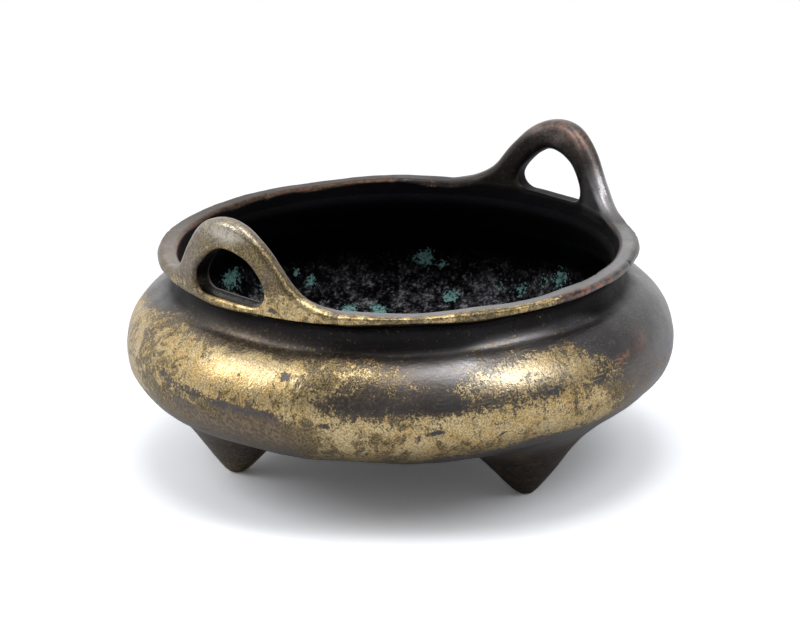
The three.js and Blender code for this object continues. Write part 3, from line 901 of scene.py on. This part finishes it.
# Materials. The colours are linear; where two are given, noise runs between them.
PALE_GOLD = (0.44, 0.34, 0.18, 1), (0.745, 0.580, 0.315, 1)
WARM_GOLD = (0.42, 0.285, 0.125, 1), (0.71, 0.52, 0.235, 1)
STAINED_GOLD = (0.090, 0.068, 0.036, 1), (0.26, 0.205, 0.110, 1)
RUBBED_METAL = (0.105, 0.080, 0.050, 1), (0.25, 0.195, 0.115, 1)
DARK_PATINA = (0.040, 0.036, 0.039, 1), (0.078, 0.074, 0.084, 1)
BROWN_PATINA = (0.118, 0.085, 0.057, 1), (0.270, 0.202, 0.135, 1)
GREEN = (0.045, 0.145, 0.15, 1), (0.27, 0.53, 0.50, 1)
# Pale colours of painted sheen on gold and on patina
SHEEN_PAINTED_ON_GOLD = (0.72, 0.67, 0.58, 1)
SHEEN_PAINTED_ON_PATINA = (0.50, 0.49, 0.51, 1)
BLACK_FLECKS = (0.030, 0.027, 0.030, 1)
COPPER = (0.36, 0.165, 0.105, 1)
SPARKS = (0.17, 0.16, 0.155, 1)
SCRATCHES = (0.74, 0.60, 0.34, 1)
# Black of sooty dirt and of painted shade in recesses, openings, under the bowl and inside it
SOOT_AND_PAINTED_SHADE = (0.005, 0.0045, 0.0055, 1)
DUST = (0.060, 0.056, 0.068, 1)
CRUMBS = (0.24, 0.25, 0.265, 1)
BUMP_DEPTH = 0.00010  # m


def fresh_tree(owner):
    """The empty node tree of a material or world."""
    owner.use_nodes = True
    owner.node_tree.nodes.clear()
    return owner.node_tree


def add(tree, kind, inputs=None, **settings):
    """Adds a node. An input is a value, or a socket to be linked to it."""
    node = tree.nodes.new(kind)
    for key, value in settings.items():
        setattr(node, key, value)
    for key, value in (inputs or {}).items():
        if isinstance(value, bpy.types.NodeSocket):
            tree.links.new(value, node.inputs[key])
        else:
            node.inputs[key].default_value = value
    return node


def ramp(tree, value, low, high, to_low=0.0, to_high=1.0):
    inputs = {"Value": value, "From Min": low, "From Max": high, "To Min": to_low, "To Max": to_high}
    return add(tree, "ShaderNodeMapRange", inputs, interpolation_type="SMOOTHSTEP").outputs[0]


def bronze(name):
    """Worn gold under a dark patina, from the wear and grime_and_painted_light masks of the mesh and fine
    noise, with painted sheen and painted shade among them.
    """
    material = bpy.data.materials.new(name)
    tree = fresh_tree(material)
    place = add(tree, "ShaderNodeTexCoord").outputs["Object"]
    wear_mask = add(tree, "ShaderNodeAttribute", attribute_name="wear")
    grime_and_painted_light_mask = add(tree, "ShaderNodeAttribute", attribute_name="grime_and_painted_light")
    worn, copper, brown = add(tree, "ShaderNodeSeparateColor", {0: wear_mask.outputs["Color"]}).outputs
    verdigris, dust, soot_and_painted_shade = add(tree, "ShaderNodeSeparateColor", {0: grime_and_painted_light_mask.outputs["Color"]}).outputs
    scratched, painted_sheen = wear_mask.outputs["Alpha"], grime_and_painted_light_mask.outputs["Alpha"]

    def math_node(kind, a, b=0.0, c=0.0):
        return add(tree, "ShaderNodeMath", {0: a, 1: b, 2: c}, operation=kind).outputs[0]

    def noise(size, detail, rough=0.5, at=place, distortion=0.0):
        inputs = {"Vector": at, "Scale": 1 / (size * MM), "Detail": detail, "Roughness": rough}
        inputs["Distortion"] = distortion
        return add(tree, "ShaderNodeTexNoise", inputs).outputs[0]

    def step(value, *limits):
        return ramp(tree, value, *limits)

    def blend(share, a, b):
        """Mixes two colours, or two numbers."""
        sample = b if isinstance(a, float) else a
        coloured = isinstance(sample, tuple) or getattr(sample, "type", "") == "RGBA"
        kind, first, result = ("RGBA", 6, 2) if coloured else ("FLOAT", 2, 0)
        return add(tree, "ShaderNodeMix", {0: share, first: a, first + 1: b}, data_type=kind).outputs[result]

    def plus(*terms):
        total = terms[0]
        for term in terms[1:]:
            total = math_node("ADD", total, term)
        return total

    def times(a, b):
        return math_node("MULTIPLY", a, b)

    def noisy(value, *layers):
        """Adds layers of noise, each centred on zero and with its gain."""
        return plus(value, *[math_node("MULTIPLY_ADD", layer, gain, -0.5 * gain) for layer, gain in layers])

    # Noises from large to fine: size in mm, detail, roughness
    patches = noise(11, 3, 0.6, distortion=0.6)
    blotches = noise(3.2, 3, 0.65, distortion=0.5)
    speckle = noise(0.95, 2, 0.6)
    grain = noise(0.52, 1, 0.6)
    level = noisy(worn, (patches, 0.75), (blotches, 1.5), (speckle, 0.95), (grain, 0.9))
    pits = step(noisy(noise(1.6, 3, 0.62, distortion=1.0), (patches, 0.45), (brown, 0.10)), 0.585, 0.655)
    level = plus(level, times(pits, -0.75))
    rubbed = step(level, 0.08, 0.46)  # half bared, brownish
    gold = step(level, 0.32, 0.72)

    # Hair scratches round the bowl, a little off level
    inputs = {"Vector": place, "Angle": 0.12}
    turned = add(tree, "ShaderNodeVectorRotate", inputs, rotation_type="X_AXIS").outputs[0]
    inputs = {0: turned, 1: (0.05, 0.05, 1.0)}
    drawn = add(tree, "ShaderNodeVectorMath", inputs, operation="MULTIPLY").outputs[0]
    free_of_soot_and_shade = math_node("SUBTRACT", 1.0, soot_and_painted_shade)
    hairs = times(times(step(noise(0.34, 1, at=drawn), 0.60, 0.67), scratched), free_of_soot_and_shade)

    # Gold: each grain has its own tone, warmer or paler by patches, with stains and places of painted sheen
    shade = step(noisy(grain, (speckle, 0.6), (noise(0.40, 0), 1.2)), 0.28, 0.72)
    warmth = step(noisy(blotches, (patches, 0.8)), 0.42, 0.60)
    bright = blend(warmth, blend(shade, *PALE_GOLD), blend(shade, *WARM_GOLD))
    stain = noisy(noise(2.9, 3, 0.60, distortion=0.9), (patches, 1.0), (speckle, 0.45), (brown, 0.70))
    bright = blend(step(stain, 0.39, 0.60, 0.0, 0.92), bright, blend(shade, *STAINED_GOLD))
    bright = blend(times(painted_sheen, 0.8), bright, SHEEN_PAINTED_ON_GOLD)

    # Patina: dark with black flecks, brown or coppery in places, with sparks of bare metal, painted sheen,
    # and black for sooty dirt and painted shade
    dark = blend(step(patches, 0.35, 0.7), *DARK_PATINA)
    dark = blend(step(speckle, 0.35, 0.65, 0.0, 0.5), dark, BLACK_FLECKS)
    dark = blend(brown, dark, blend(step(speckle, 0.35, 0.65), *BROWN_PATINA))
    coppery = times(copper, step(noisy(blotches, (patches, 0.6), (speckle, 0.5)), 0.40, 0.58))
    dark = blend(coppery, dark, COPPER)
    dark = blend(step(noisy(grain, (speckle, 1.0), (blotches, 0.5)), 0.66, 0.78, 0.0, 0.6), dark, SPARKS)
    dark = blend(times(painted_sheen, 0.8), dark, SHEEN_PAINTED_ON_PATINA)
    dark = blend(soot_and_painted_shade, dark, SOOT_AND_PAINTED_SHADE)
    base = blend(times(rubbed, times(free_of_soot_and_shade, 0.7)), dark, blend(shade, *RUBBED_METAL))
    base = blend(times(gold, free_of_soot_and_shade), base, bright)
    base = blend(times(hairs, 0.8), base, SCRATCHES)

    # Dust on the floor of the bowl, with pale crumbs in it, and verdigris
    dusty = times(dust, step(noisy(patches, (speckle, 1.0), (blotches, 1.2)), 0.36, 0.66))
    base = blend(times(dusty, 0.85), base, DUST)
    crumbs = times(dust, step(noisy(speckle, (grain, 0.5), (blotches, 1.1), (patches, 0.6)), 0.60, 0.76))
    base = blend(crumbs, base, CRUMBS)
    green = step(noisy(verdigris, (blotches, 0.8), (speckle, 1.1), (grain, 0.8)), 0.36, 0.64)
    green = times(green, step(verdigris, 0.04, 0.16))
    green_shade = step(noisy(speckle, (grain, 0.6), (verdigris, 0.25)), 0.36, 0.66)
    base = blend(green, base, blend(green_shade, *GREEN))

    # Powder is dull and not metallic; patina has a thin coat over it
    powder = math_node("MAXIMUM", green, math_node("MAXIMUM", times(dusty, 0.85), crumbs))
    bare = math_node("SUBTRACT", 1.0, powder)
    metallic = times(blend(math_node("MAXIMUM", gold, soot_and_painted_shade), 0.85, 1.0), bare)
    rough = blend(gold, blend(soot_and_painted_shade, 0.38, 0.62), 0.35)
    rough = plus(noisy(rough, (blotches, 0.16), (speckle, 0.20)), times(painted_sheen, -0.10))
    rough = blend(powder, rough, 0.9)
    coat = times(times(free_of_soot_and_shade, bare), times(blend(rubbed, 0.55, 0.05), step(brown, 0.2, 1.0, 1.0, 0.45)))
    relief = noisy(times(gold, 0.35), (grain, 0.7), (speckle, 1.1))
    relief = plus(relief, times(hairs, -0.5), times(green, 0.9))
    bump = add(tree, "ShaderNodeBump", {"Strength": 0.7, "Distance": BUMP_DEPTH, "Height": relief}).outputs[0]
    inputs = {"Base Color": base, "Metallic": metallic, "Roughness": rough, "Normal": bump, "IOR": 1.5}
    inputs.update({"Coat Weight": coat, "Coat Roughness": 0.32})
    shader = add(tree, "ShaderNodeBsdfPrincipled", inputs)
    add(tree, "ShaderNodeOutputMaterial", {0: shader.outputs[0]})
    return material


EARS = [("right_ear", 1.0, -3.4), ("left_ear", -1.0, -0.4)]  # side and the crown's lean along the rim
skin = bronze("burner_bronze")
pieces = [make_bowl(), make_rim()]
pieces += [make_ear(*ear) for ear in EARS]
pieces += [make_foot(foot) for foot in FOOT_AZIMUTHS]
for piece in pieces:
    piece.data.materials.append(skin)
    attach(piece, "root")


# Floor and studio
LIT_FLOOR = (0.66, 0.67, 0.70, 1)  # as the burner sees it
NEAR_FLOOR_PAINTED_LIGHTER, OUTER_FLOOR = (1.60, 1.64, 1.71, 1), (1.04, 1.065, 1.11, 1)  # as the camera sees it; painted lighter near the burner, over its shadow
WHITE = (1, 1, 1, 1)
# Azimuth, elevation, width and height, watts
LAMPS = {
    "left_softbox": (144, 39, (0.34, 0.46), 1.95),
    "right_softbox": (-75, 47, (0.34, 0.50), 1.65),
    "front_softbox": (-128, 78, (0.50, 0.40), 2.0),
    "top_softbox": (45, 84, (0.60, 0.60), 1.3),
}
LAMP_DISTANCE = 0.9
LAMP_AIM = Vector((0, 0, 0.04))
FLOOR_SIZE = 14
CAMERA_PLACE = Vector((-1.0033, -1.0033, 0.5139))
CAMERA_AIM = Vector((0.00246, 0.00226, 0.0404))
CAMERA_ROLL = math.radians(-1.05)
CAMERA_LENS = 244.03


def make_floor():
    """A pale floor whose shadows show near the burner, where painted light makes it brighter for the camera,
    and that runs out into white.
    """
    bpy.ops.mesh.primitive_plane_add(size=FLOOR_SIZE, location=(0, 0, 0))
    floor = bpy.context.object
    floor.name = "floor"
    material = bpy.data.materials.new("pale_floor")
    tree = fresh_tree(material)
    place = add(tree, "ShaderNodeTexCoord").outputs["Object"]
    away = add(tree, "ShaderNodeVectorMath", {0: place}, operation="LENGTH").outputs["Value"]
    rays = add(tree, "ShaderNodeLightPath").outputs
    # Painted light: the camera sees the floor brighter near the burner, which lightens its shadow
    inputs = {0: ramp(tree, away, 0.055, 0.125), 6: NEAR_FLOOR_PAINTED_LIGHTER, 7: OUTER_FLOOR}
    seen = add(tree, "ShaderNodeMix", inputs, data_type="RGBA").outputs[2]
    inputs = {0: rays["Is Camera Ray"], 6: LIT_FLOOR, 7: seen}
    colour = add(tree, "ShaderNodeMix", inputs, data_type="RGBA").outputs[2]
    surface = add(tree, "ShaderNodeBsdfDiffuse", {"Color": colour}).outputs[0]
    white = add(tree, "ShaderNodeEmission", {"Color": WHITE, "Strength": 1.0}).outputs[0]
    share = rays["Is Camera Ray"]
    for kind in ("Is Glossy Ray", "Is Transmission Ray"):
        share = add(tree, "ShaderNodeMath", {0: share, 1: rays[kind]}, operation="MAXIMUM").outputs[0]
    far = ramp(tree, away, 0.18, 0.40)
    share = add(tree, "ShaderNodeMath", {0: share, 1: far}, operation="MULTIPLY").outputs[0]
    mixed = add(tree, "ShaderNodeMixShader", {0: share, 1: surface, 2: white})
    add(tree, "ShaderNodeOutputMaterial", {0: mixed.outputs[0]})
    floor.data.materials.append(material)


def make_world():
    """Soft light from all round, stronger from the white backdrop behind the burner and to its left."""
    world = bpy.data.worlds.new("studio")
    bpy.context.scene.world = world
    tree = fresh_tree(world)
    inputs = {0: add(tree, "ShaderNodeTexCoord").outputs["Generated"]}
    inputs[1] = (math.cos(BACKDROP), math.sin(BACKDROP), 0.0)
    facing = add(tree, "ShaderNodeVectorMath", inputs, operation="DOT_PRODUCT").outputs["Value"]
    inputs = {0: add(tree, "ShaderNodeLightPath").outputs["Is Camera Ray"]}
    inputs.update({2: ramp(tree, facing, -0.25, 0.85, 0.35, 0.95), 3: 1.0})
    strength = add(tree, "ShaderNodeMix", inputs, data_type="FLOAT").outputs[0]
    background = add(tree, "ShaderNodeBackground", {"Color": WHITE, "Strength": strength})
    add(tree, "ShaderNodeOutputWorld", {0: background.outputs[0]})


def make_lamp(name, azimuth, elevation, size, watts):
    """A soft lamp, placed by its direction from the burner and aimed at it."""
    azimuth, elevation = math.radians(azimuth), math.radians(elevation)
    flat = math.cos(elevation)
    direction = Vector((flat * math.cos(azimuth), flat * math.sin(azimuth), math.sin(elevation)))
    data = bpy.data.lights.new(name, "AREA")
    data.shape = "RECTANGLE"
    data.size, data.size_y = size
    data.energy = watts
    lamp = bpy.data.objects.new(name, data)
    lamp.location = LAMP_AIM + direction * LAMP_DISTANCE
    lamp.rotation_euler = direction.to_track_quat("Z", "Y").to_euler()
    bpy.context.scene.collection.objects.link(lamp)


def make_camera():
    """The photo's camera, as fitted to the outlines in it."""
    data = bpy.data.cameras.new("camera")
    data.lens = CAMERA_LENS
    data.sensor_width = 36
    data.sensor_fit = "HORIZONTAL"
    data.clip_end = 50
    camera = bpy.data.objects.new("camera", data)
    turn_to = (CAMERA_AIM - CAMERA_PLACE).to_track_quat("-Z", "Y").to_matrix().to_4x4()
    camera.matrix_world = Matrix.Translation(CAMERA_PLACE) @ turn_to @ Matrix.Rotation(CAMERA_ROLL, 4, "Z")
    bpy.context.scene.collection.objects.link(camera)
    bpy.context.scene.camera = camera


make_floor()
make_world()
for lamp_name, lamp in LAMPS.items():
    make_lamp(lamp_name, *lamp)
make_camera()
bpy.context.scene.view_settings.view_transform = "Standard"
